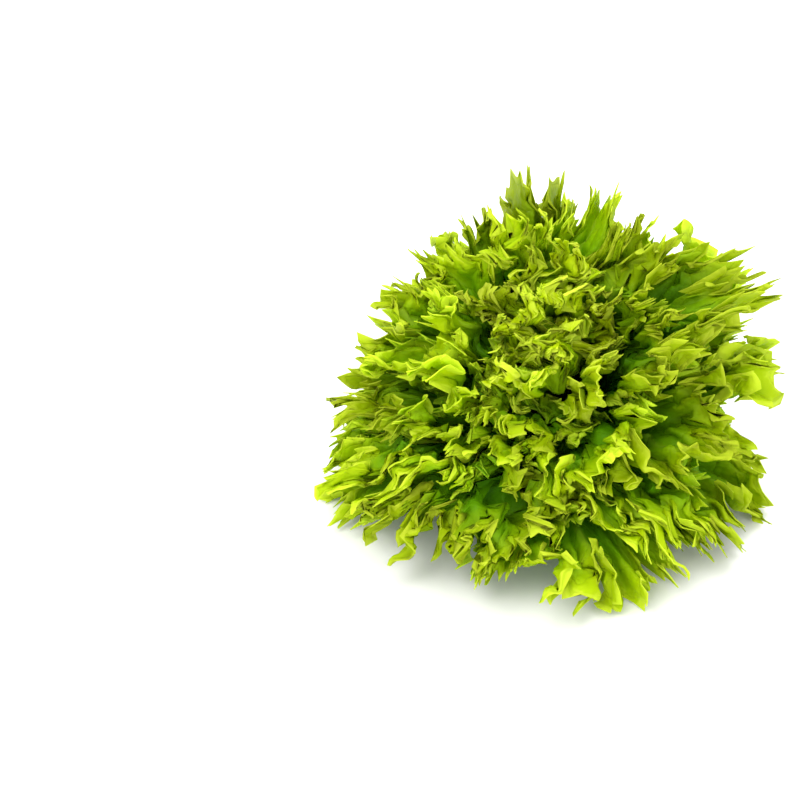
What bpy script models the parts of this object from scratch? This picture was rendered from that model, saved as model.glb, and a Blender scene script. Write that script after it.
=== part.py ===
"""Green leaf lettuce: one loose head of frilled leaves, cut at the stem and resting on its cut face.

The leaves follow each other up the stem by the golden angle. Each one lies on its own layer, a bowl round
the stem, from the lowest, which arches over the table, to the heart, which stands up. A leaf's frill swings
to and fro between its own layer and its neighbours', so no two leaves meet. Then the whole head is folded
and curled at once, which bends neighbours alike and keeps them apart.
"""

import math
import random

import bmesh
import bpy
import numpy as np

# The stem, in metres: a short solid core whose cut face is the foot of the head
STEM_RADIUS = 0.0155
STEM_STRAIGHT = 0.009
STEM_HEIGHT = 0.042
STEM_TOP_RADIUS = 0.004
STEM_SIDES = 20
STEM_CUT_EDGE = 0.001

# The leaves and how they leave the stem, with slopes for the lowest layer and for the heart. Layer 0.5 is the
# middle of the head.
LEAF_COUNT = 40
MIDDLE_LAYER = 0.5
GOLDEN_ANGLE = math.radians(137.508)
FIRST_LEAF_ANGLE = math.radians(-80)
LOWEST_LEAF_HEIGHT = 0.0095
HIGHEST_LEAF_HEIGHT = 0.038
LEAF_GAP = 0.0003
START_SLOPE = (math.radians(26), math.radians(94))
TIP_SLOPE = (math.radians(-36), math.radians(80))
SLOPE_LENGTH = 0.118

# One leaf's outline
OUTER_LENGTH = 0.118
MIDDLE_LENGTH = 0.142
HEART_LENGTH = 0.098
LENGTH_SPREAD = (0.95, 1.05)
OUTER_HALF_ANGLE = math.radians(35)
HEART_HALF_ANGLE = math.radians(52)
FAN_ANGLE = math.radians(78)
FAN_CENTRE = 0.44
BASE_HALF_ANGLE = math.radians(25)
FAN_OPENS = 0.70

# The blade's thickness, and the fleshy rib's at its root
BLADE_THICKNESS = 0.0009
RIB_THICKNESS = 0.0032
HEART_RIB_SHARE = 0.35
RIB_WIDTH_SHARE = 0.24
RIB_LENGTH_SHARE = 0.72

# The frill: quick waves near the rim on slow ones. Both swing through a share of the layers, further along
# the middle of a leaf, where the next leaf of the spiral doesn't lie over it. The curl grows only at the rim.
FRILL_WAVES = (9.4, 4.6)
WAVES_SPREAD = (0.92, 1.08)
FRILL_GROWTH = 1.9
CURL_GROWTH = 8.0
CURL_SHARE = 0.55
FRILL_LEAN = 0.26
WAVE_DRIFT = 1.1
WAVE_DRIFTS = 2.7
MIDDLE_SWING = 0.060
SIDE_SWING = 0.027
SLOW_WAVES = 0.37
SLOW_GROWTH = 1.4
MIDDLE_SLOW_SWING = 0.024
SIDE_SLOW_SWING = 0.006
HEART_SWING_SHARE = 0.34
SIDE_STARTS = 0.30
SIDE_ENDS = 0.62

# The rim, as shares of the leaf's length: it draws in where the frill curls over, is parted into broad lobes
# and is cut into teeth
CURL_DEPTH = 0.08
LOBE_DEPTH = 0.11
LOBE_GROWTH = 2.0
LOBE_SHARPNESS = 4
TOOTH_DEPTH = 0.055
TOOTH_SPREAD = (0.6, 1.3)

# Folds that run through the whole head, so that nested leaves bend alike: share of the layers, number of
# folds round the head and how far they turn from the lowest layer to the heart
HEAD_FOLDS = ((0.065, 3, 4.0), (0.040, 7, -8.0))
FOLD_GROWTH = 2
HEAD_TWIST = math.radians(6)
HEAD_TWISTS = 4
HEAD_TWIST_TURN = 7.0
FOLD_DISTANCE = 0.110

# The head leans over to its front, -Y. Its middle layers stand steeper and reach further at the back, and its
# lowest ones reach further at the front. No leaf comes lower than a blade's half thickness over the table.
HEAD_LEAN = 0.48
HEAD_TILT = math.radians(11)
SIDE_TILT_SHARE = 0.4
BACK_GROWTH = 0.36
BACK_ANGLE = math.radians(68)
BACK_LAYERS = 0.45
BACK_FADES = 0.60
FRONT_GROWTH = 0.30
FLOOR_CUSHION = 0.010
FLOOR_BLADE = 0.0006

# Places where the head's leaves are curled together: each turns all that lies in a ball about its middle,
# most at the middle and not at all at the ball's edge. Two-part sizes run from the lowest layer to the heart.
CURLS = 44
CURL_LAYERS = (0.03, 0.97)
CURL_DISTANCE = (0.108, 0.092)
CURL_RADIUS = (0.026, 0.037)
CURL_TURN = (math.radians(29), math.radians(48))
HEART_TURN_SHARE = 0.35
CURL_SEED = 6

# Rows of a leaf from its root to its rim: share of the way out, and quarter waves of the frill to a step. A
# step never ends so close to a side of the leaf as this share of a quarter wave.
LEAF_ROWS = ((0.0, 64), (0.22, 8), (0.46, 4), (0.66, 2), (0.80, 2), (0.90, 1), (1.0, 1))
MOST_QUARTERS = 32
QUARTER_WAVE = math.pi / 2
SIDE_GAP = 0.6
FINE_STEPS = 2000

FIRST_SEED = 8100
HEART_STARTS = 0.7

LEAF_GREEN = (0.30, 0.50, 0.035, 1.0)
HEART_GREEN = (0.46, 0.62, 0.08, 1.0)
STEM_CREAM = (0.72, 0.74, 0.46, 1.0)


def mix(low, high, share):
    return low + (high - low) * share


def smooth(share):
    share = np.clip(share, 0.0, 1.0)
    return share * share * (3 - 2 * share)


def towards_heart(layer):
    """0 from the lowest layer to the middle one, then up to 1 at the heart."""
    return smooth((layer - MIDDLE_LAYER) / (1 - MIDDLE_LAYER))


def stem_radius_at(height):
    share = (height - STEM_STRAIGHT) / (STEM_HEIGHT - STEM_STRAIGHT)
    return mix(STEM_RADIUS, STEM_TOP_RADIUS, np.clip(share, 0.0, 1.0))


def point_on_layer(layer, angle, distance):
    """Radius and height on a layer, 0 the lowest and 1 the heart, at a distance along it from the stem."""
    lifted = smooth(layer / BACK_LAYERS)
    towards_back = np.cos(angle - BACK_ANGLE) * lifted * (1 - BACK_FADES * towards_heart(layer))
    tilt = HEAD_TILT * (towards_back + SIDE_TILT_SHARE * lifted) * (1 - towards_heart(layer))
    reach = 1 + BACK_GROWTH * towards_back - FRONT_GROWTH * np.sin(angle) * (1 - lifted)
    start = mix(*START_SLOPE, layer)
    bend = (mix(*TIP_SLOPE, layer) - start) / SLOPE_LENGTH
    start = start + tilt
    height = mix(LOWEST_LEAF_HEIGHT, HIGHEST_LEAF_HEIGHT, layer)
    radius = stem_radius_at(height) + LEAF_GAP + RIB_THICKNESS / 2 * np.sin(start)
    slope = start + bend * distance
    return (
        radius + reach * (np.sin(slope) - np.sin(start)) / bend,
        height - reach * (np.cos(slope) - np.cos(start)) / bend,
    )


def folded_head(layer, angle, distance):
    """Layer and angle after the head's folds and twists, which grow with the distance from the stem."""
    growth = np.minimum((distance / FOLD_DISTANCE) ** FOLD_GROWTH, 1)
    twisted = angle + growth * HEAD_TWIST * np.sin(HEAD_TWISTS * angle + HEAD_TWIST_TURN * layer)
    folded = layer
    for depth, folds, turn in HEAD_FOLDS:
        folded = folded + growth * depth * np.sin(folds * angle + turn * layer)
    return folded, twisted


def lifted_off_floor(height):
    """Heights near the table close up towards it and never pass it, as limp leaves do where they lie."""
    above = height - FLOOR_BLADE
    cushion = FLOOR_CUSHION * np.exp(np.minimum(above / FLOOR_CUSHION, 1) - 1)
    return FLOOR_BLADE + np.where(above > FLOOR_CUSHION, above, cushion)


def find_curls():
    """Middle, radius, axis and turn of each curl, spread over the head as its leaves are."""
    draw = random.Random(CURL_SEED)
    curls = []
    for index in range(CURLS):
        layer = mix(*CURL_LAYERS, index / (CURLS - 1))
        angle = index * GOLDEN_ANGLE
        radius, height = point_on_layer(layer, angle, mix(*CURL_DISTANCE, layer))
        middle = np.array([radius * math.cos(angle), radius * math.sin(angle), height])
        axis = np.array([draw.gauss(0, 1) for _ in range(3)])
        axis = axis / np.linalg.norm(axis)
        turn = draw.uniform(*CURL_TURN) * mix(1, HEART_TURN_SHARE, layer)
        curls.append((middle, draw.uniform(*CURL_RADIUS), axis, turn))
    return curls


def curled_head(places):
    """Places after the curls. A ball's shells only turn, so leaves that were apart before stay apart."""
    for middle, radius, axis, most in HEAD_CURLS:
        offset = places - middle
        share = np.clip(1 - (offset**2).sum(-1, keepdims=True) / radius**2, 0, 1)
        turn = most * smooth(share)
        along = (offset @ axis)[..., None] * axis
        places = middle + along + (offset - along) * np.cos(turn) + np.cross(axis, offset) * np.sin(turn)
    return places


HEAD_CURLS = find_curls()


class Leaf:
    """The sizes, waves and teeth of one leaf, counted from the lowest, which is on layer 0."""

    def __init__(self, index):
        draw = random.Random(FIRST_SEED + index)
        self.layer = index / (LEAF_COUNT - 1)
        self.angle = FIRST_LEAF_ANGLE + index * GOLDEN_ANGLE
        outer = mix(OUTER_LENGTH, MIDDLE_LENGTH, smooth(self.layer / MIDDLE_LAYER))
        self.length = mix(outer, HEART_LENGTH, towards_heart(self.layer)) * draw.uniform(*LENGTH_SPREAD)
        self.half_angle = mix(OUTER_HALF_ANGLE, HEART_HALF_ANGLE, self.layer**2)
        self.waves = mix(*FRILL_WAVES, self.layer) * draw.uniform(*WAVES_SPREAD)
        self.crest = draw.choice((-1, 1)) * QUARTER_WAVE
        self.slow_phase = draw.uniform(0, math.tau)
        self.drift_phase = draw.uniform(0, math.tau)
        self.quarters = np.arange(-MOST_QUARTERS, MOST_QUARTERS + 1)
        depths = [TOOTH_DEPTH * draw.uniform(*TOOTH_SPREAD) for _ in self.quarters]
        self.notches = np.where(self.quarters % 2 == 1, depths, 0)

    def thickness_at(self, out, across):
        rib = smooth(1 - abs(across) / RIB_WIDTH_SHARE) * smooth(1 - out / RIB_LENGTH_SHARE)
        return mix(BLADE_THICKNESS, RIB_THICKNESS * mix(1, HEART_RIB_SHARE, self.layer), rib)

    def wave_at(self, across):
        """The frill's angle, from a crest on the rib. Its waves are close in some places, wide in others."""
        drift = np.sin(WAVE_DRIFTS * math.pi * across + self.drift_phase) - math.sin(self.drift_phase)
        return self.waves * math.pi * across + self.crest + WAVE_DRIFT * drift

    def notch_at(self, across):
        """How far the rim is cut in: not at a wave's crest or trough, and most half way between them."""
        quarters = (self.wave_at(across) - self.crest) / QUARTER_WAVE
        return np.interp(quarters, self.quarters, self.notches)

    def columns(self, step):
        """Places across the leaf: its sides, its rib, and so many quarter waves apart on both sides of that."""
        fine = np.linspace(-1, 1, FINE_STEPS + 1)
        quarters = (self.wave_at(fine) - self.crest) / QUARTER_WAVE
        within = (self.quarters > quarters[0] + SIDE_GAP) & (self.quarters < quarters[-1] - SIDE_GAP)
        kept = self.quarters[within & (self.quarters % step == 0)]
        return np.concatenate([[-1.0], np.interp(kept, quarters, fine), [1.0]])

    def point(self, out, across, notch):
        """x, y and z of places on the blade: out from its root to its rim, and across from side to side."""
        wave = self.wave_at(across)
        curl = out**CURL_GROWTH
        frill = mix(out**FRILL_GROWTH, curl, CURL_SHARE)
        leaning = across - frill * FRILL_LEAN / self.waves * np.sin(2 * wave)
        fan = leaning * FAN_ANGLE
        sideways = mix(leaning, np.sin(fan), smooth(out / FAN_OPENS))
        spread = mix(BASE_HALF_ANGLE, self.half_angle, smooth(out / FAN_OPENS))
        along = FAN_CENTRE + (1 - FAN_CENTRE) * np.cos(fan)
        side = smooth((abs(sideways) - SIDE_STARTS) / (SIDE_ENDS - SIDE_STARTS))
        swing = mix(MIDDLE_SWING, SIDE_SWING, side) * frill * np.sin(wave)
        slow_wave = SLOW_WAVES * wave + self.slow_phase
        swing = swing + mix(MIDDLE_SLOW_SWING, SIDE_SLOW_SWING, side) * out**SLOW_GROWTH * np.sin(slow_wave)
        layer = self.layer + swing * mix(1, HEART_SWING_SHARE, self.layer**2)
        parted = LOBE_DEPTH * out**LOBE_GROWTH * np.cos(slow_wave) ** LOBE_SHARPNESS
        drawn_in = CURL_DEPTH * curl * np.sin(wave) ** 2 + parted + notch
        distance = self.length * along * (out - drawn_in)
        layer, angle = folded_head(layer, self.angle + spread * sideways, distance)
        radius, height = point_on_layer(layer, angle, distance)
        places = np.stack([radius * np.cos(angle), radius * np.sin(angle), height], -1)
        x, y, height = np.moveaxis(curled_head(places), -1, 0)
        height = lifted_off_floor(height)
        return x, y - HEAD_LEAN * height, height


def strip(mesh, inner, outer):
    """Triangles between two rows, each a list of places across and one of vertices."""
    (inner_at, inner), (outer_at, outer) = inner, outer
    i = j = 0
    while i < len(inner) - 1 or j < len(outer) - 1:
        ended = j == len(outer) - 1
        if ended or (i < len(inner) - 1 and inner_at[i] + inner_at[i + 1] < outer_at[j] + outer_at[j + 1]):
            mesh.faces.new((inner[i], inner[i + 1], outer[j]))
            i += 1
        else:
            mesh.faces.new((inner[i], outer[j + 1], outer[j]))
            j += 1


def add_leaf(index, material):
    leaf = Leaf(index)
    mesh = bmesh.new()
    rows, weights = [], []
    for out, step in LEAF_ROWS:
        across = leaf.columns(step)
        notch = leaf.notch_at(across) if out == 1 else 0 * across
        places = np.transpose(leaf.point(out, across, notch))
        rows.append((across, [mesh.verts.new(place) for place in places]))
        weights.extend(leaf.thickness_at(out, across) / RIB_THICKNESS)
    for inner, outer in zip(rows, rows[1:]):
        strip(mesh, inner, outer)
    data = bpy.data.meshes.new(f"leaf_{index + 1:02d}")
    mesh.to_mesh(data)
    mesh.free()
    obj = bpy.data.objects.new(data.name, data)
    bpy.context.collection.objects.link(obj)
    data.materials.append(material)
    data.shade_smooth()
    group = obj.vertex_groups.new(name="thickness")
    for vertex, weight in enumerate(weights):
        group.add([vertex], weight, "REPLACE")
    solidify = obj.modifiers.new("Blade", "SOLIDIFY")
    solidify.thickness = RIB_THICKNESS
    solidify.offset = 0.0
    solidify.vertex_group = group.name
    return obj


def add_stem(material):
    """The core, which leans with the head: a cut face, a straight foot and a cone that the leaves stand on."""
    outline = (
        (STEM_RADIUS - STEM_CUT_EDGE, 0.0),
        (STEM_RADIUS, STEM_CUT_EDGE),
        (STEM_RADIUS, STEM_STRAIGHT),
        (STEM_TOP_RADIUS, STEM_HEIGHT),
    )
    turns = [math.tau * side / STEM_SIDES for side in range(STEM_SIDES)]
    mesh = bmesh.new()
    rings = []
    for radius, height in outline:
        ring = [(radius * math.cos(a), radius * math.sin(a) - HEAD_LEAN * height, height) for a in turns]
        rings.append([mesh.verts.new(place) for place in ring])
    mesh.faces.new(list(reversed(rings[0])))
    for low, high in zip(rings, rings[1:]):
        for side in range(STEM_SIDES):
            after = (side + 1) % STEM_SIDES
            mesh.faces.new((low[side], low[after], high[after], high[side]))
    mesh.faces.new(rings[-1])
    data = bpy.data.meshes.new("stem_core")
    mesh.to_mesh(data)
    mesh.free()
    obj = bpy.data.objects.new("stem_core", data)
    bpy.context.collection.objects.link(obj)
    data.materials.append(material)
    return obj


def add_material(name, colour, roughness):
    material = bpy.data.materials.new(name)
    material.use_nodes = True
    surface = material.node_tree.nodes["Principled BSDF"]
    surface.inputs["Base Color"].default_value = colour
    surface.inputs["Roughness"].default_value = roughness
    surface.inputs["Metallic"].default_value = 0.0
    return material


def centre_on_origin(parts):
    """Moves the whole head so that its box stands with the middle of its base on the origin."""
    bpy.context.view_layer.update()
    graph = bpy.context.evaluated_depsgraph_get()
    corners = []
    for obj in parts:
        mesh = obj.evaluated_get(graph).to_mesh()
        corners += [vertex.co.copy() for vertex in mesh.vertices]
    shift_x = (min(c.x for c in corners) + max(c.x for c in corners)) / 2
    shift_y = (min(c.y for c in corners) + max(c.y for c in corners)) / 2
    for obj in parts:
        for vertex in obj.data.vertices:
            vertex.co.x -= shift_x
            vertex.co.y -= shift_y


def main():
    for obj in list(bpy.data.objects):
        bpy.data.objects.remove(obj)
    leaf_green = add_material("leaf_green", LEAF_GREEN, 0.45)
    heart_green = add_material("heart_green", HEART_GREEN, 0.45)
    stem_cream = add_material("stem_cream", STEM_CREAM, 0.6)
    parts = [add_stem(stem_cream)]
    for index in range(LEAF_COUNT):
        parts.append(add_leaf(index, heart_green if index > LEAF_COUNT * HEART_STARTS else leaf_green))
    centre_on_origin(parts)


main()
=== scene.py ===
"""Green leaf lettuce: the finished leaves, stem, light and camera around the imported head.

Each leaf is a flat sheet, fine towards its rim, bent by the same rules as the plain leaf that it stands for:
a layer round the stem, a frill that swings between neighbouring layers, and the head's folds and curls. The
finer ruffles, lobes, teeth, puckers and small curls are added to it on the way.
"""

import math
import random

import bmesh
import bpy
import numpy as np
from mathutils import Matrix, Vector


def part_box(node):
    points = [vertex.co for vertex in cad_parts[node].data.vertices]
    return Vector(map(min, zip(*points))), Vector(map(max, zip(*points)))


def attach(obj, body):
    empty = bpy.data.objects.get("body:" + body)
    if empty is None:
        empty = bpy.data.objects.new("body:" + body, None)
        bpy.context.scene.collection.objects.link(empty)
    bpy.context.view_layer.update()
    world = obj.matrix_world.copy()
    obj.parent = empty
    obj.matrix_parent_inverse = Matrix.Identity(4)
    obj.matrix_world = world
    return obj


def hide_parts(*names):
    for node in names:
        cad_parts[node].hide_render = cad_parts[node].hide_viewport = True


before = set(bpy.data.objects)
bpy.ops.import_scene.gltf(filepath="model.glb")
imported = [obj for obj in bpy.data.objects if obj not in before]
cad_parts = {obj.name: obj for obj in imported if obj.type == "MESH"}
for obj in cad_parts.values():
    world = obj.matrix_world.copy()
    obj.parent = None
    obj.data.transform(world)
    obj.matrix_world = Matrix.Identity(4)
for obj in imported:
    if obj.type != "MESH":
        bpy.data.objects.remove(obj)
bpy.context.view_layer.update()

# The stem, in metres
STEM_RADIUS = 0.0155
STEM_STRAIGHT = 0.009
STEM_HEIGHT = 0.042
STEM_TOP_RADIUS = 0.004

# The leaves and how they leave the stem, with slopes for the lowest layer and for the heart. Layer 0.5 is the
# middle of the head.
LEAF_COUNT = 40
MIDDLE_LAYER = 0.5
GOLDEN_ANGLE = math.radians(137.508)
FIRST_LEAF_ANGLE = math.radians(-80)
LOWEST_LEAF_HEIGHT = 0.0095
HIGHEST_LEAF_HEIGHT = 0.038
LEAF_GAP = 0.0003
START_SLOPE = (math.radians(26), math.radians(94))
TIP_SLOPE = (math.radians(-36), math.radians(80))
SLOPE_LENGTH = 0.118

# One leaf's outline
OUTER_LENGTH = 0.118
MIDDLE_LENGTH = 0.142
HEART_LENGTH = 0.098
LENGTH_SPREAD = (0.95, 1.05)
OUTER_HALF_ANGLE = math.radians(35)
HEART_HALF_ANGLE = math.radians(52)
FAN_ANGLE = math.radians(78)
FAN_CENTRE = 0.44
BASE_HALF_ANGLE = math.radians(25)
FAN_OPENS = 0.70

# The blade's thickness inside and at its rim, and the fleshy rib's at its root
BLADE_THICKNESS = 0.0008
RIM_THICKNESS = 0.0005
RIM_ANGLE = math.radians(76)
RIB_THICKNESS = 0.0032
HEART_RIB_SHARE = 0.35
RIB_WIDTH_SHARE = 0.24
RIB_LENGTH_SHARE = 0.72

# The frill: quick waves near the rim on slow ones, which swing through a share of the layers
FRILL_WAVES = (9.4, 4.6)
WAVES_SPREAD = (0.92, 1.08)
FRILL_GROWTH = 1.9
CURL_GROWTH = 17.0
CURL_SHARE = 0.55
FRILL_LEAN = 0.26
WAVE_DRIFT = 1.1
WAVE_DRIFTS = 2.7
MIDDLE_SWING = 0.060
SIDE_SWING = 0.027
SLOW_WAVES = 0.37
SLOW_GROWTH = 1.4
MIDDLE_SLOW_SWING = 0.024
SIDE_SLOW_SWING = 0.006
HEART_SWING_SHARE = 0.34
SIDE_STARTS = 0.30
SIDE_ENDS = 0.62

# The rim, as shares of the leaf's length
CURL_DEPTH = 0.08
LOBE_DEPTH = 0.11
LOBE_GROWTH = 2.0
LOBE_SHARPNESS = 4
TOOTH_DEPTH = 0.055
TOOTH_SPREAD = (0.6, 1.3)
MOST_QUARTERS = 32
QUARTER_WAVE = math.pi / 2

# Folds that run through the whole head
HEAD_FOLDS = ((0.065, 3, 4.0), (0.040, 7, -8.0))
FOLD_GROWTH = 2
HEAD_TWIST = math.radians(6)
HEAD_TWISTS = 4
HEAD_TWIST_TURN = 7.0
FOLD_DISTANCE = 0.110

# The head leans over to its front, -Y
HEAD_LEAN = 0.48
HEAD_TILT = math.radians(11)
SIDE_TILT_SHARE = 0.4
BACK_GROWTH = 0.36
BACK_ANGLE = math.radians(68)
BACK_LAYERS = 0.45
BACK_FADES = 0.60
FRONT_GROWTH = 0.30
FLOOR_CUSHION = 0.010
FLOOR_BLADE = 0.0006

# Places where the head's leaves are curled together
CURLS = 44
CURL_LAYERS = (0.03, 0.97)
CURL_DISTANCE = (0.108, 0.092)
CURL_RADIUS = (0.026, 0.037)
CURL_TURN = (math.radians(29), math.radians(48))
HEART_TURN_SHARE = 0.35
CURL_SEED = 6

# Far smaller ones, which turn the frill's own lobes this way and that
SMALL_CURLS = 900
SMALL_CURL_DISTANCE = ((0.065, 0.140), (0.055, 0.110))
SMALL_CURL_RADIUS = (0.009, 0.021)
SMALL_CURL_TURN = (math.radians(60), math.radians(125))
SMALL_CURL_HEART_SHARE = 0.6
SMALL_CURL_CORE = 0.2
SMALL_CURL_SEED = 3

# And the smallest, which crimp the rims
FINE_CURLS = 7000
FINE_CURL_DISTANCE = ((0.080, 0.145), (0.062, 0.112))
FINE_CURL_RADIUS = (0.0045, 0.011)
FINE_CURL_TURN = (math.radians(70), math.radians(135))
FINE_CURL_SEED = 4

FIRST_SEED = 8100
HEART_STARTS = 0.7

# The flat sheet that every leaf is bent from: its squares, and the places from which its columns are halved
# again, where -1 is the root and 1 the rim
SHEET_SIZE = 2.0
SHEET_COLUMNS = 104
SHEET_ROWS = 24
SHEET_FINER_FROM = (-0.1, 0.3)
SAME_PLACE = 1e-5
ROW_CROWDING = 1.6

# Finer ruffles on the frill: waves to each frill wave, swing, growth towards the rim and lean
RUFFLES = ((2.3, 0.028, 2.2, 0.14), (5.3, 0.011, 6.0, 0.08))
RUFFLE_CHANGE = 0.45
RUFFLE_CHANGE_RATE = 0.61

# Lobes of the rim and the fine teeth on them, for the lowest leaf and the heart, with depths as shares of the
# leaf's length and where on the blade each starts. A fine tooth is a whole number of the rim's squares wide,
# so that its tip stays sharp.
LOBES = (36, 22)
LOBE_CUT = 0.080
LOBE_CUT_SHARPNESS = 2.2
LOBE_START = 0.66
LOBE_SHIFT = 0.5
TOOTH_SQUARES = (4, 6)
FINE_TOOTH_DEPTH = 0.054
TEETH_START = 0.78
NOTCH_SPREAD = 0.6
BROAD_TOOTH_SHARE = 0.3

# Puckers of the blade between its veins, in rows that bend across it and drift with its frill
PUCKER = 0.007
PUCKER_ROWS = 42.0
PUCKER_COLUMNS = 26.0
PUCKER_START = 0.25
PUCKER_GROWTH = 2
ROW_BEND = 0.2
ROW_BENDS = 3
ROW_DRIFT = 3
ROW_DRIFT_RATE = 0.7

# The camera: viewing angle, what it looks at, distance and sensor, and where the head stands in the picture,
# in pixels
CAMERA_ELEVATION = math.radians(35)
CAMERA_TARGET = (0, 0, 0.07)
CAMERA_DISTANCE = 0.95
CAMERA_SENSOR = 36.0
PICTURE = 800
HEAD_LEFT, HEAD_RIGHT = 312, 787
HEAD_TOP, HEAD_BOTTOM = 165, 617

# The studio: a pale floor, soft round lights with their sizes, powers and colours, and even light all round
FLOOR_SIZE = 6.0
FLOOR_MIDDLE = (0, 1.5, 0)
FLOOR_WHITE = (0.86, 0.86, 0.86, 1)
FLOOR_ROUGHNESS = 0.6
LIGHT_TARGET = (0, 0, 0.05)
LIGHTS = (
    ("key_softbox", (-0.5, -0.55, 1.2), 0.9, 10.0, (1.0, 0.99, 0.94)),
    ("top_softbox", (0.35, 0.5, 1.3), 1.1, 12.0, (1, 1, 1)),
    ("front_fill", (0.7, -1.0, 0.5), 0.8, 4.0, (1, 1, 1)),
)
STUDIO_WHITE = (1, 1, 1, 1)
STUDIO_LIGHT = 1.33

# The leaf's skin, in shares of its own map: the fleshy rib, and the veins that leave it at a slant
RIB_WIDTH = 0.060
RIB_END = 1.03
RIB_FADE = 0.8
RIB_SHARE = 0.6
VEIN_SLANT = -0.75
VEINS = 9.0
FIRST_VEIN = 20.0
VEIN_SHARPNESS = 14.0
VEIN_SHARE = 0.22
VEIN_DEPTH = -0.7

# Blisters and mottles of the skin, to the metre, and how far the mottles move the colours out or in. The pale
# line along the rim has none.
BLISTERS = 260.0
STEM_BLISTERS = 420.0
MOTTLES = 75.0
MOTTLE_DETAIL = 3.0
MOTTLE_SHARE = 0.24
PALE_LINE = 0.97

# Colours along a leaf, from its root to its rim: its own greens, with painted shade that makes the blade
# darker towards the root, deep in the head
BLADE_STOPS_AND_SHADE = (
    (0.10, (0.120, 0.310, 0.004, 1)),
    (0.42, (0.095, 0.290, 0.001, 1)),
    (0.66, (0.230, 0.430, 0.001, 1)),
    (0.84, (0.410, 0.570, 0.001, 1)),
    (0.955, (0.480, 0.640, 0.002, 1)),
    (0.990, (0.650, 0.780, 0.035, 1)),
)
HEART_STOPS_AND_SHADE = (
    (0.10, (0.190, 0.350, 0.006, 1)),
    (0.45, (0.180, 0.350, 0.002, 1)),
    (0.68, (0.340, 0.500, 0.002, 1)),
    (0.86, (0.490, 0.630, 0.002, 1)),
    (0.955, (0.530, 0.680, 0.004, 1)),
    (0.990, (0.680, 0.800, 0.050, 1)),
)
RIB_CREAM = (0.46, 0.60, 0.03, 1)
VEIN_GREEN = (0.34, 0.50, 0.01, 1)

# Painted shade: places deep in the head are painted a deeper, darker green. Some leaves are lighter than
# others
PAINTED_SHADE_TINT = (0.63, 0.94, 0.60, 1)
UNSHADED_REACH = 0.90
PAINTED_SHADE_FADE = 2.6
DARKEST_LEAF = 0.80
LEAF_TONES = 0.36

# How a leaf takes the light, and how much of it shines through
LEAF_SPECULAR = 0.12
LEAF_ROUGHNESS = 0.42
MOTTLE_ROUGHNESS = 0.25
LEAF_BUMP = 0.6
LEAF_BUMP_DEPTH = 0.0009
SHINE_THROUGH = 0.42

# The stem's flesh
STEM_STOPS = ((0.3, (0.56, 0.60, 0.30, 1)), (0.7, (0.80, 0.80, 0.55, 1)))
STEM_ROUGHNESS = 0.5
STEM_BUMP = 0.3
STEM_BUMP_DEPTH = 0.0005


def mix(low, high, share):
    """From low to high with the share."""
    return low + (high - low) * share


def smooth(share):
    """The share, with a soft start and end."""
    share = np.clip(share, 0.0, 1.0)
    return share * share * (3 - 2 * share)


def towards_heart(layer):
    """0 from the lowest layer to the middle one, then up to 1 at the heart."""
    return smooth((layer - MIDDLE_LAYER) / (1 - MIDDLE_LAYER))


def stem_radius_at(height):
    share = (height - STEM_STRAIGHT) / (STEM_HEIGHT - STEM_STRAIGHT)
    return mix(STEM_RADIUS, STEM_TOP_RADIUS, np.clip(share, 0.0, 1.0))


def point_on_layer(layer, angle, distance):
    """Radius and height on a layer, 0 the lowest and 1 the heart, at a distance along it from the stem."""
    lifted = smooth(layer / BACK_LAYERS)
    towards_back = np.cos(angle - BACK_ANGLE) * lifted * (1 - BACK_FADES * towards_heart(layer))
    tilt = HEAD_TILT * (towards_back + SIDE_TILT_SHARE * lifted) * (1 - towards_heart(layer))
    reach = 1 + BACK_GROWTH * towards_back - FRONT_GROWTH * np.sin(angle) * (1 - lifted)
    start = mix(*START_SLOPE, layer)
    bend = (mix(*TIP_SLOPE, layer) - start) / SLOPE_LENGTH
    start = start + tilt
    height = mix(LOWEST_LEAF_HEIGHT, HIGHEST_LEAF_HEIGHT, layer)
    radius = stem_radius_at(height) + LEAF_GAP + RIB_THICKNESS / 2 * np.sin(start)
    slope = start + bend * distance
    return (
        radius + reach * (np.sin(slope) - np.sin(start)) / bend,
        height - reach * (np.cos(slope) - np.cos(start)) / bend,
    )


def folded_head(layer, angle, distance):
    """Layer and angle after the head's folds and twists, which grow with the distance from the stem."""
    growth = np.minimum((distance / FOLD_DISTANCE) ** FOLD_GROWTH, 1)
    twisted = angle + growth * HEAD_TWIST * np.sin(HEAD_TWISTS * angle + HEAD_TWIST_TURN * layer)
    folded = layer
    for depth, folds, turn in HEAD_FOLDS:
        folded = folded + growth * depth * np.sin(folds * angle + turn * layer)
    return folded, twisted


def lifted_off_floor(height):
    """Heights near the table close up towards it and never pass it, as limp leaves do where they lie."""
    above = height - FLOOR_BLADE
    cushion = FLOOR_CUSHION * np.exp(np.minimum(above / FLOOR_CUSHION, 1) - 1)
    return FLOOR_BLADE + np.where(above > FLOOR_CUSHION, above, cushion)


def draw_curl(draw, layer, index, distance, radii, turns, heart_share):
    """Middle, radius, axis and most turn of a curl. The last three are drawn, and the heart's turn less."""
    angle = index * GOLDEN_ANGLE
    radius, height = point_on_layer(layer, angle, distance)
    middle = np.array([radius * math.cos(angle), radius * math.sin(angle), height])
    axis = np.array([draw.gauss(0, 1) for _ in range(3)])
    most = draw.uniform(*turns) * mix(1, heart_share, layer)
    return middle, draw.uniform(*radii), axis / np.linalg.norm(axis), most


def find_curls():
    """The curls, spread over the head as its leaves are."""
    draw = random.Random(CURL_SEED)
    curls = []
    for index in range(CURLS):
        layer = mix(*CURL_LAYERS, index / (CURLS - 1))
        distance = mix(*CURL_DISTANCE, layer)
        curls.append(draw_curl(draw, layer, index, distance, CURL_RADIUS, CURL_TURN, HEART_TURN_SHARE))
    return curls


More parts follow.
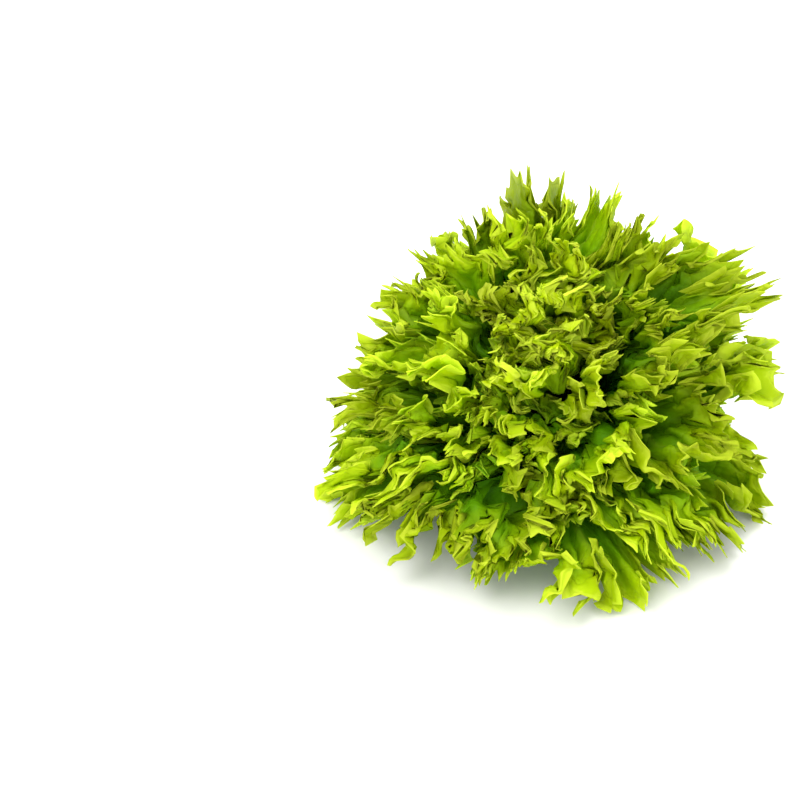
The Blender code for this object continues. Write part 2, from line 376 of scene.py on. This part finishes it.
def find_small_curls(count, distances, radii, turns, seed):
    """The same for small curls, whose layer and distance from the stem are drawn too."""
    draw = random.Random(seed)
    curls = []
    for index in range(count):
        layer = draw.random()
        distance = draw.uniform(*mix(*np.array(distances), layer))
        curls.append(draw_curl(draw, layer, index, distance, radii, turns, SMALL_CURL_HEART_SHARE))
    return curls


def near_middle(square):
    """How much of a curl's turn is left at a place, from the square of its share of the ball's radius."""
    return 1 - square


def near_core(square):
    """The same for a small curl, whose turn dies away more evenly, so that it stretches the blades less."""
    return np.log(np.maximum(square, SMALL_CURL_CORE**2)) / math.log(SMALL_CURL_CORE**2)


def curled_head(places):
    """Places after the curls: each turns what lies in a ball about its middle, least at the ball's edge.

    A ball clear of the box round all the places is passed over.
    """
    places = places.copy()
    low, high = places.min(0), places.max(0)
    for curls, left in ((HEAD_CURLS, near_middle), (SMALL_HEAD_CURLS + FINE_HEAD_CURLS, near_core)):
        for middle, radius, axis, most in curls:
            if (middle + radius < low).any() or (middle - radius > high).any():
                continue
            offset = places - middle
            square = (offset**2).sum(-1) / radius**2
            inside = square < 1
            if not inside.any():
                continue
            offset = offset[inside]
            turn = (most * smooth(left(square[inside])))[:, None]
            along = (offset @ axis)[:, None] * axis
            turned = (offset - along) * np.cos(turn) + np.cross(axis, offset) * np.sin(turn)
            turned = middle + along + turned
            places[inside] = turned
            low, high = np.minimum(low, turned.min(0)), np.maximum(high, turned.max(0))
    return places


HEAD_CURLS = find_curls()
SMALL_HEAD_CURLS = find_small_curls(
    SMALL_CURLS, SMALL_CURL_DISTANCE, SMALL_CURL_RADIUS, SMALL_CURL_TURN, SMALL_CURL_SEED
)
FINE_HEAD_CURLS = find_small_curls(
    FINE_CURLS, FINE_CURL_DISTANCE, FINE_CURL_RADIUS, FINE_CURL_TURN, FINE_CURL_SEED
)


def bays(across, count, changes):
    """Round bays of uneven depth with pointed tips between them, 0 at a tip and about 1 in a bay."""
    place = (across + 1) / 2 * count
    bay = np.clip(place.astype(int), 0, len(changes) - 1)
    return (1 + NOTCH_SPREAD * changes[bay]) * abs(np.sin(math.pi * place))


def cuts(across, count, changes):
    """Narrow cuts between round lobes of uneven width, 0 on a lobe and about 1 in a cut."""
    place = (across + 1) / 2 * count
    place = place + LOBE_SHIFT * np.interp(place, np.arange(len(changes)), changes)
    nearest = np.clip(np.round(place).astype(int), 0, len(changes) - 1)
    return (1 + NOTCH_SPREAD * changes[nearest]) * (1 - abs(np.sin(math.pi * place))) ** LOBE_CUT_SHARPNESS


class Leaf:
    """The sizes, waves and teeth of one leaf, counted from the lowest, which is on layer 0."""

    def __init__(self, index):
        draw = random.Random(FIRST_SEED + index)
        self.layer = index / (LEAF_COUNT - 1)
        self.angle = FIRST_LEAF_ANGLE + index * GOLDEN_ANGLE
        outer = mix(OUTER_LENGTH, MIDDLE_LENGTH, smooth(self.layer / MIDDLE_LAYER))
        self.length = mix(outer, HEART_LENGTH, towards_heart(self.layer)) * draw.uniform(*LENGTH_SPREAD)
        self.half_angle = mix(OUTER_HALF_ANGLE, HEART_HALF_ANGLE, self.layer**2)
        self.waves = mix(*FRILL_WAVES, self.layer) * draw.uniform(*WAVES_SPREAD)
        self.crest = draw.choice((-1, 1)) * QUARTER_WAVE
        self.slow_phase = draw.uniform(0, math.tau)
        self.drift_phase = draw.uniform(0, math.tau)
        self.quarters = np.arange(-MOST_QUARTERS, MOST_QUARTERS + 1)
        depths = [TOOTH_DEPTH * draw.uniform(*TOOTH_SPREAD) for _ in self.quarters]
        self.notches = np.where(self.quarters % 2 == 1, depths, 0)
        self.lobes = round(mix(*LOBES, self.layer))
        self.teeth = SHEET_COLUMNS * 2 ** len(SHEET_FINER_FROM) / round(mix(*TOOTH_SQUARES, self.layer))
        self.lobe_notches = np.array([draw.uniform(-1, 1) for _ in range(self.lobes + 2)])
        self.fine_notches = np.array([draw.uniform(-1, 1) for _ in range(round(self.teeth) + 2)])
        self.ruffle_phases = [draw.uniform(0, math.tau) for _ in RUFFLES]
        self.tone = draw.random()

    def thickness_at(self, out, across):
        """The blade's thickness, thinnest at the rim, and the rib's in the middle of its root."""
        rib = smooth(1 - abs(across) / RIB_WIDTH_SHARE) * smooth(1 - out / RIB_LENGTH_SHARE)
        blade = mix(BLADE_THICKNESS, RIM_THICKNESS, out**CURL_GROWTH)
        return mix(blade, RIB_THICKNESS * mix(1, HEART_RIB_SHARE, self.layer), rib)

    def wave_at(self, across):
        """The frill's angle, from a crest on the rib. Its waves are close in some places, wide in others."""
        drift = np.sin(WAVE_DRIFTS * math.pi * across + self.drift_phase) - math.sin(self.drift_phase)
        return self.waves * math.pi * across + self.crest + WAVE_DRIFT * drift

    def notch_at(self, out, across):
        """How far the rim is cut in: broad teeth, lobes with cuts between them, and fine, pointed teeth."""
        quarters = (self.wave_at(across) - self.crest) / QUARTER_WAVE
        broad = BROAD_TOOTH_SHARE * np.interp(quarters, self.quarters, self.notches)
        lobes = LOBE_CUT * cuts(across, self.lobes, self.lobe_notches)
        fine = FINE_TOOTH_DEPTH * bays(across, self.teeth, self.fine_notches)
        lobed = (broad + lobes) * smooth((out - LOBE_START) / (1 - LOBE_START))
        return lobed + fine * smooth((out - TEETH_START) / (1 - TEETH_START))

    def ruffles_at(self, out, across, wave):
        """The finer ruffles' swing, and how far each leans to the side."""
        swing, lean = 0, 0
        for (rate, most, growth, side), phase in zip(RUFFLES, self.ruffle_phases):
            change = 1 + RUFFLE_CHANGE * np.sin(wave * RUFFLE_CHANGE_RATE + 2 * phase)
            turn = rate * wave + phase
            swing = swing + most * change * out**growth * np.sin(turn)
            lean = lean + out**growth * side / (self.waves * rate) * np.sin(2 * turn)
        return swing, lean

    def reach_at(self, out, across):
        """How near a place is to the outside of the head, 1 there and 0 at the stem."""
        return out * (FAN_CENTRE + (1 - FAN_CENTRE) * np.cos(across * FAN_ANGLE))

    def pucker_at(self, out, across, wave):
        """The puckers' swing, which starts a little way out from the root."""
        row = PUCKER_ROWS * out * (1 + ROW_BEND * np.sin(ROW_BENDS * across))
        row = row + ROW_DRIFT * np.sin(ROW_DRIFT_RATE * wave)
        column = PUCKER_COLUMNS * across + self.slow_phase
        return PUCKER * smooth(PUCKER_GROWTH * (out - PUCKER_START)) * np.sin(row) * np.sin(column)

    def point(self, out, across):
        """x, y and z of places on the blade: out from its root to its rim, and across from side to side."""
        wave = self.wave_at(across)
        curl = out**CURL_GROWTH
        frill = mix(out**FRILL_GROWTH, curl, CURL_SHARE)
        ruffle, ruffle_lean = self.ruffles_at(out, across, wave)
        leaning = across - frill * FRILL_LEAN / self.waves * np.sin(2 * wave) - ruffle_lean
        fan = leaning * FAN_ANGLE
        sideways = mix(leaning, np.sin(fan), smooth(out / FAN_OPENS))
        spread = mix(BASE_HALF_ANGLE, self.half_angle, smooth(out / FAN_OPENS))
        along = FAN_CENTRE + (1 - FAN_CENTRE) * np.cos(fan)
        side = smooth((abs(sideways) - SIDE_STARTS) / (SIDE_ENDS - SIDE_STARTS))
        swing = mix(MIDDLE_SWING, SIDE_SWING, side) * frill * np.sin(wave)
        slow_wave = SLOW_WAVES * wave + self.slow_phase
        swing = swing + mix(MIDDLE_SLOW_SWING, SIDE_SLOW_SWING, side) * out**SLOW_GROWTH * np.sin(slow_wave)
        swing = swing + ruffle + self.pucker_at(out, across, wave)
        layer = self.layer + swing * mix(1, HEART_SWING_SHARE, self.layer**2)
        parted = LOBE_DEPTH * out**LOBE_GROWTH * np.cos(slow_wave) ** LOBE_SHARPNESS
        drawn_in = CURL_DEPTH * curl * np.sin(wave) ** 2 + parted + self.notch_at(out, across)
        distance = self.length * along * (out - drawn_in)
        layer, angle = folded_head(layer, self.angle + spread * sideways, distance)
        radius, height = point_on_layer(layer, angle, distance)
        places = np.stack([radius * np.cos(angle), radius * np.sin(angle), height], -1)
        x, y, height = np.moveaxis(curled_head(places), -1, 0)
        height = lifted_off_floor(height)
        return np.stack([x, y - HEAD_LEAN * height, height], -1)


def deselect_all():
    if bpy.context.object and bpy.context.object.mode != "OBJECT":
        bpy.ops.object.mode_set(mode="OBJECT")
    bpy.ops.object.select_all(action="DESELECT")


def make_active(obj):
    deselect_all()
    bpy.context.view_layer.objects.active = obj
    obj.select_set(True)


def head_shift():
    """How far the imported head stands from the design's own axis, found from its stem."""
    low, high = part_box("stem_core")
    return np.array([(low.x + high.x) / 2, high.y - STEM_RADIUS, 0.0])


# Looks: node trees


def add_node(tree, kind, **inputs):
    node = tree.nodes.new(kind)
    for name, value in inputs.items():
        node.inputs[name].default_value = value
    return node


def math_node(tree, operation, first, second=None, third=None, clamp=False):
    node = tree.nodes.new("ShaderNodeMath")
    node.operation = operation
    node.use_clamp = clamp
    for socket, value in zip(node.inputs, (first, second, third)):
        if value is None:
            continue
        if isinstance(value, (int, float)):
            socket.default_value = value
        else:
            tree.links.new(value, socket)
    return node.outputs[0]


def ramp_node(tree, value, stops):
    node = tree.nodes.new("ShaderNodeValToRGB")
    ramp = node.color_ramp
    ramp.elements[0].position, ramp.elements[0].color = stops[0]
    ramp.elements[1].position, ramp.elements[1].color = stops[-1]
    for place, colour in stops[1:-1]:
        ramp.elements.new(place).color = colour
    tree.links.new(value, node.inputs[0])
    return node.outputs[0]


def mix_colours(tree, share, first, second, blend="MIX"):
    node = tree.nodes.new("ShaderNodeMix")
    node.data_type = "RGBA"
    node.blend_type = blend
    for socket, value in ((node.inputs[0], share), (node.inputs[6], first), (node.inputs[7], second)):
        if isinstance(value, (int, float, tuple)):
            socket.default_value = value
        else:
            tree.links.new(value, socket)
    return node.outputs[2]


def raise_skin(tree, height, surface, strength, depth):
    """Gives the surface a bump, from a height."""
    bump = add_node(tree, "ShaderNodeBump", Strength=strength, Distance=depth)
    tree.links.new(height, bump.inputs["Height"])
    tree.links.new(bump.outputs[0], surface.inputs["Normal"])


def new_group(name, inputs, outputs):
    group = bpy.data.node_groups.new(name, "ShaderNodeTree")
    for label, kind, value in inputs:
        socket = group.interface.new_socket(label, in_out="INPUT", socket_type=kind)
        socket.default_value = value
    for label, kind in outputs:
        group.interface.new_socket(label, in_out="OUTPUT", socket_type=kind)
    return group, group.nodes.new("NodeGroupInput"), group.nodes.new("NodeGroupOutput")


def make_blade_pattern():
    """Where a place lies on its leaf, from the leaf's own map: how far out, the fleshy rib and the veins."""
    group, given, made = new_group(
        "blade pattern",
        (("Map", "NodeSocketVector", (0, 0, 0)), ("Rib Width", "NodeSocketFloat", RIB_WIDTH)),
        (("Out", "NodeSocketFloat"), ("Rib", "NodeSocketFloat"), ("Veins", "NodeSocketFloat")),
    )
    split = group.nodes.new("ShaderNodeSeparateXYZ")
    group.links.new(given.outputs["Map"], split.inputs[0])
    inward = math_node(group, "SUBTRACT", 1.0, split.outputs["Y"], clamp=True)
    out = math_node(group, "SUBTRACT", 1.0, math_node(group, "POWER", inward, ROW_CROWDING))
    across = math_node(group, "ABSOLUTE", math_node(group, "MULTIPLY_ADD", split.outputs["X"], 2.0, -1.0))
    narrowing = math_node(group, "SUBTRACT", RIB_END, out, clamp=True)
    width = math_node(group, "MULTIPLY", given.outputs["Rib Width"], narrowing)
    rib = math_node(group, "SUBTRACT", 1.0, math_node(group, "DIVIDE", across, width), clamp=True)
    branching = math_node(group, "MULTIPLY_ADD", out, VEIN_SLANT, across)
    phase = math_node(group, "FRACT", math_node(group, "MULTIPLY_ADD", branching, VEINS, FIRST_VEIN))
    ridge = math_node(group, "ABSOLUTE", math_node(group, "MULTIPLY_ADD", phase, 2.0, -1.0))
    veins = math_node(group, "POWER", ridge, VEIN_SHARPNESS)
    group.links.new(out, made.inputs["Out"])
    group.links.new(rib, made.inputs["Rib"])
    group.links.new(veins, made.inputs["Veins"])
    return group


def make_blister_pattern():
    """A fine net with the skin puffed up between its lines, and wider mottles, in the head's own space."""
    group, given, made = new_group(
        "blister pattern",
        (("Place", "NodeSocketVector", (0, 0, 0)), ("Size", "NodeSocketFloat", BLISTERS)),
        (("Height", "NodeSocketFloat"), ("Mottle", "NodeSocketFloat")),
    )
    cells = group.nodes.new("ShaderNodeTexVoronoi")
    group.links.new(given.outputs["Place"], cells.inputs["Vector"])
    group.links.new(given.outputs["Size"], cells.inputs["Scale"])
    mottles = add_node(group, "ShaderNodeTexNoise", Detail=MOTTLE_DETAIL, Scale=MOTTLES)
    group.links.new(given.outputs["Place"], mottles.inputs["Vector"])
    height = math_node(group, "MULTIPLY_ADD", cells.outputs["Distance"], -1.0, 1.0)
    group.links.new(height, made.inputs["Height"])
    group.links.new(mottles.outputs["Fac"], made.inputs["Mottle"])
    return group


def make_leaf_material(name, stops, blade_pattern, blister_pattern):
    material = bpy.data.materials.new(name)
    material.use_nodes = True
    tree = material.node_tree
    surface = tree.nodes["Principled BSDF"]
    surface.inputs["Specular IOR Level"].default_value = LEAF_SPECULAR
    place = tree.nodes.new("ShaderNodeTexCoord")
    leaf_map = tree.nodes.new("ShaderNodeUVMap")
    leaf_map.uv_map = "UVMap"
    tone = tree.nodes.new("ShaderNodeAttribute")
    tone.attribute_name = "tone"
    pattern = tree.nodes.new("ShaderNodeGroup")
    pattern.node_tree = blade_pattern
    tree.links.new(leaf_map.outputs[0], pattern.inputs["Map"])
    blisters = tree.nodes.new("ShaderNodeGroup")
    blisters.node_tree = blister_pattern
    tree.links.new(place.outputs["Object"], blisters.inputs["Place"])
    mottled = math_node(tree, "MULTIPLY_ADD", blisters.outputs["Mottle"], MOTTLE_SHARE, -MOTTLE_SHARE / 2)
    inside_line = math_node(tree, "LESS_THAN", pattern.outputs["Out"], PALE_LINE)
    where = math_node(tree, "MULTIPLY_ADD", mottled, inside_line, pattern.outputs["Out"])
    # The ramp holds the leaf's own greens and painted shade, darker towards the root
    colour = ramp_node(tree, where, stops)
    vein_share = math_node(tree, "MULTIPLY", pattern.outputs["Veins"], VEIN_SHARE)
    colour = mix_colours(tree, vein_share, colour, VEIN_GREEN)
    faded_rib = math_node(tree, "POWER", pattern.outputs["Rib"], RIB_FADE)
    colour = mix_colours(tree, math_node(tree, "MULTIPLY", faded_rib, RIB_SHARE), colour, RIB_CREAM)
    # Painted shade: where the leaf lies deep in the head, away from its outside, the colour is multiplied by
    # a deeper green
    reach = tree.nodes.new("ShaderNodeAttribute")
    reach.attribute_name = "reach"
    deepest = PAINTED_SHADE_FADE * UNSHADED_REACH
    deep = math_node(tree, "MULTIPLY_ADD", reach.outputs["Fac"], -PAINTED_SHADE_FADE, deepest, clamp=True)
    colour = mix_colours(tree, deep, colour, PAINTED_SHADE_TINT, "MULTIPLY")
    lightness = math_node(tree, "MULTIPLY_ADD", tone.outputs["Fac"], LEAF_TONES, DARKEST_LEAF)
    shade = tree.nodes.new("ShaderNodeHueSaturation")
    tree.links.new(lightness, shade.inputs["Value"])
    tree.links.new(colour, shade.inputs["Color"])
    tree.links.new(shade.outputs[0], surface.inputs["Base Color"])
    rough = math_node(tree, "MULTIPLY_ADD", blisters.outputs["Mottle"], MOTTLE_ROUGHNESS, LEAF_ROUGHNESS)
    tree.links.new(rough, surface.inputs["Roughness"])
    ridges = math_node(tree, "MULTIPLY_ADD", pattern.outputs["Veins"], VEIN_DEPTH, blisters.outputs["Height"])
    raise_skin(tree, ridges, surface, LEAF_BUMP, LEAF_BUMP_DEPTH)
    through = tree.nodes.new("ShaderNodeBsdfTranslucent")
    tree.links.new(shade.outputs[0], through.inputs["Color"])
    blend = tree.nodes.new("ShaderNodeMixShader")
    blend.inputs[0].default_value = SHINE_THROUGH
    tree.links.new(surface.outputs[0], blend.inputs[1])
    tree.links.new(through.outputs[0], blend.inputs[2])
    tree.links.new(blend.outputs[0], tree.nodes["Material Output"].inputs["Surface"])
    return material


def make_stem_material(blister_pattern):
    material = bpy.data.materials.new("stem_flesh")
    material.use_nodes = True
    tree = material.node_tree
    surface = tree.nodes["Principled BSDF"]
    surface.inputs["Roughness"].default_value = STEM_ROUGHNESS
    place = tree.nodes.new("ShaderNodeTexCoord")
    blisters = tree.nodes.new("ShaderNodeGroup")
    blisters.node_tree = blister_pattern
    blisters.inputs["Size"].default_value = STEM_BLISTERS
    tree.links.new(place.outputs["Object"], blisters.inputs["Place"])
    colour = ramp_node(tree, blisters.outputs["Mottle"], STEM_STOPS)
    tree.links.new(colour, surface.inputs["Base Color"])
    raise_skin(tree, blisters.outputs["Height"], surface, STEM_BUMP, STEM_BUMP_DEPTH)
    return material


def add_flat_sheet():
    """The flat leaf: a grid that is halved across where the frill and the teeth need it."""
    deselect_all()
    bpy.ops.mesh.primitive_grid_add(x_subdivisions=SHEET_COLUMNS, y_subdivisions=SHEET_ROWS, size=SHEET_SIZE)
    sheet = bpy.context.object
    sheet.name = "flat_leaf"
    bpy.ops.object.mode_set(mode="EDIT")
    bpy.ops.mesh.select_mode(type="EDGE")
    for start in SHEET_FINER_FROM:
        bpy.ops.mesh.select_all(action="DESELECT")
        mesh = bmesh.from_edit_mesh(sheet.data)
        for edge in mesh.edges:
            first, second = edge.verts
            level = abs(first.co.y - second.co.y) < SAME_PLACE
            edge.select_set(level and first.co.y > start - SAME_PLACE)
        bmesh.update_edit_mesh(sheet.data)
        bpy.ops.mesh.subdivide(number_cuts=1)
    bpy.ops.mesh.select_mode(type="VERT")
    bpy.ops.object.mode_set(mode="OBJECT")
    return sheet


def add_leaf(index, sheet, material, shift):
    """A copy of the flat leaf, bent into its place in the head and given its thickness."""
    leaf = Leaf(index)
    node = f"leaf_{index + 1:02d}"
    data = sheet.data.copy()
    piece = bpy.data.objects.new(f"{node}_blade", data)
    data.name = piece.name
    bpy.context.scene.collection.objects.link(piece)
    flat = np.empty(len(data.vertices) * 3, np.float32)
    data.vertices.foreach_get("co", flat)
    flat = flat.reshape(-1, 3).astype(float)
    across = np.clip(flat[:, 0], -1, 1)
    out = 1 - (1 - np.clip((flat[:, 1] + 1) / 2, 0, 1)) ** ROW_CROWDING
    places = leaf.point(out, across) + shift
    data.vertices.foreach_set("co", places.astype(np.float32).ravel())
    data.update()
    # The reach also tells the leaf skin where to paint shade deep in the head
    reach = data.attributes.new("reach", "FLOAT", "POINT")
    reach.data.foreach_set("value", leaf.reach_at(out, across).astype(np.float32))
    group = piece.vertex_groups.new(name="thickness")
    for vertex, weight in enumerate(leaf.thickness_at(out, across) / RIB_THICKNESS):
        group.add([vertex], float(weight), "REPLACE")
    data.materials.append(material)
    make_active(piece)
    solidify = piece.modifiers.new("Blade", "SOLIDIFY")
    solidify.thickness = RIB_THICKNESS
    solidify.offset = 0.0
    solidify.vertex_group = group.name
    bpy.ops.object.modifier_apply(modifier=solidify.name)
    bpy.ops.object.shade_smooth_by_angle(angle=RIM_ANGLE)
    piece.vertex_groups.clear()
    tone = data.attributes.new("tone", "FLOAT", "POINT")
    tone.data.foreach_set("value", np.full(len(data.vertices), leaf.tone, np.float32))
    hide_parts(node)
    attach(piece, "root")
    return piece


def add_floor():
    deselect_all()
    bpy.ops.mesh.primitive_plane_add(size=FLOOR_SIZE, location=FLOOR_MIDDLE)
    floor = bpy.context.object
    floor.name = "studio_floor"
    material = bpy.data.materials.new("studio_white")
    material.use_nodes = True
    surface = material.node_tree.nodes["Principled BSDF"]
    surface.inputs["Base Color"].default_value = FLOOR_WHITE
    surface.inputs["Roughness"].default_value = FLOOR_ROUGHNESS
    floor.data.materials.append(material)


def add_light(name, place, size, power, colour):
    deselect_all()
    bpy.ops.object.light_add(type="AREA", location=place)
    lamp = bpy.context.object
    lamp.name = name
    lamp.data.shape = "DISK"
    lamp.data.size = size
    lamp.data.energy = power
    lamp.data.color = colour
    lamp.rotation_euler = (Vector(LIGHT_TARGET) - Vector(place)).to_track_quat("-Z", "Y").to_euler()


def add_world():
    """Even white light from all round."""
    world = bpy.data.worlds.new("studio")
    world.use_nodes = True
    light = world.node_tree.nodes["Background"]
    light.inputs["Color"].default_value = STUDIO_WHITE
    light.inputs["Strength"].default_value = STUDIO_LIGHT
    bpy.context.scene.world = world


def add_camera():
    """The photograph's view, from the front and above. Returns the camera and the direction back to it."""
    back = Vector((0, -math.cos(CAMERA_ELEVATION), math.sin(CAMERA_ELEVATION)))
    place = Vector(CAMERA_TARGET) + back * CAMERA_DISTANCE
    bpy.ops.object.camera_add(location=place)
    camera = bpy.context.object
    camera.name = "photo_view"
    camera.rotation_euler = (-back).to_track_quat("-Z", "Y").to_euler()
    camera.data.sensor_width = CAMERA_SENSOR
    camera.data.dof.use_dof = False
    bpy.context.scene.camera = camera
    return camera, back


def frame_head(camera, back, pieces):
    """Sets the focal length and shift so that the head fills the same pixels as in the photograph."""
    bpy.context.view_layer.update()
    right = Vector((1, 0, 0))
    up = right.cross(-back)
    spots = []
    for piece in pieces:
        spot = np.empty(len(piece.data.vertices) * 3, np.float32)
        piece.data.vertices.foreach_get("co", spot)
        spots.append(spot.reshape(-1, 3))
    offset = np.concatenate(spots) - np.array(camera.location)
    deep = offset @ np.array(-back)
    sideways = offset @ np.array(right) / deep
    upwards = offset @ np.array(up) / deep
    width, height = sideways.max() - sideways.min(), upwards.max() - upwards.min()
    per_pixel = max(width / (HEAD_RIGHT - HEAD_LEFT), height / (HEAD_BOTTOM - HEAD_TOP))
    camera.data.lens = CAMERA_SENSOR / (per_pixel * PICTURE)
    middle_x = (sideways.max() + sideways.min()) / 2 / (per_pixel * PICTURE)
    middle_y = (upwards.max() + upwards.min()) / 2 / (per_pixel * PICTURE)
    camera.data.shift_x = middle_x - ((HEAD_LEFT + HEAD_RIGHT) / 2 / PICTURE - 0.5)
    camera.data.shift_y = middle_y - (0.5 - (HEAD_TOP + HEAD_BOTTOM) / 2 / PICTURE)


shift = head_shift()
blade_pattern = make_blade_pattern()
blister_pattern = make_blister_pattern()
leaf_skin = make_leaf_material("leaf_skin", BLADE_STOPS_AND_SHADE, blade_pattern, blister_pattern)
heart_skin = make_leaf_material("heart_skin", HEART_STOPS_AND_SHADE, blade_pattern, blister_pattern)
stem_flesh = make_stem_material(blister_pattern)

flat_sheet = add_flat_sheet()
leaves = []
for index in range(LEAF_COUNT):
    skin = heart_skin if index > LEAF_COUNT * HEART_STARTS else leaf_skin
    leaves.append(add_leaf(index, flat_sheet, skin, shift))
bpy.data.objects.remove(flat_sheet)

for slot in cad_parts["stem_core"].material_slots:
    slot.material = stem_flesh

camera, back = add_camera()
frame_head(camera, back, leaves)
add_floor()
for light in LIGHTS:
    add_light(*light)
add_world()
bpy.context.scene.view_settings.view_transform = "Standard"
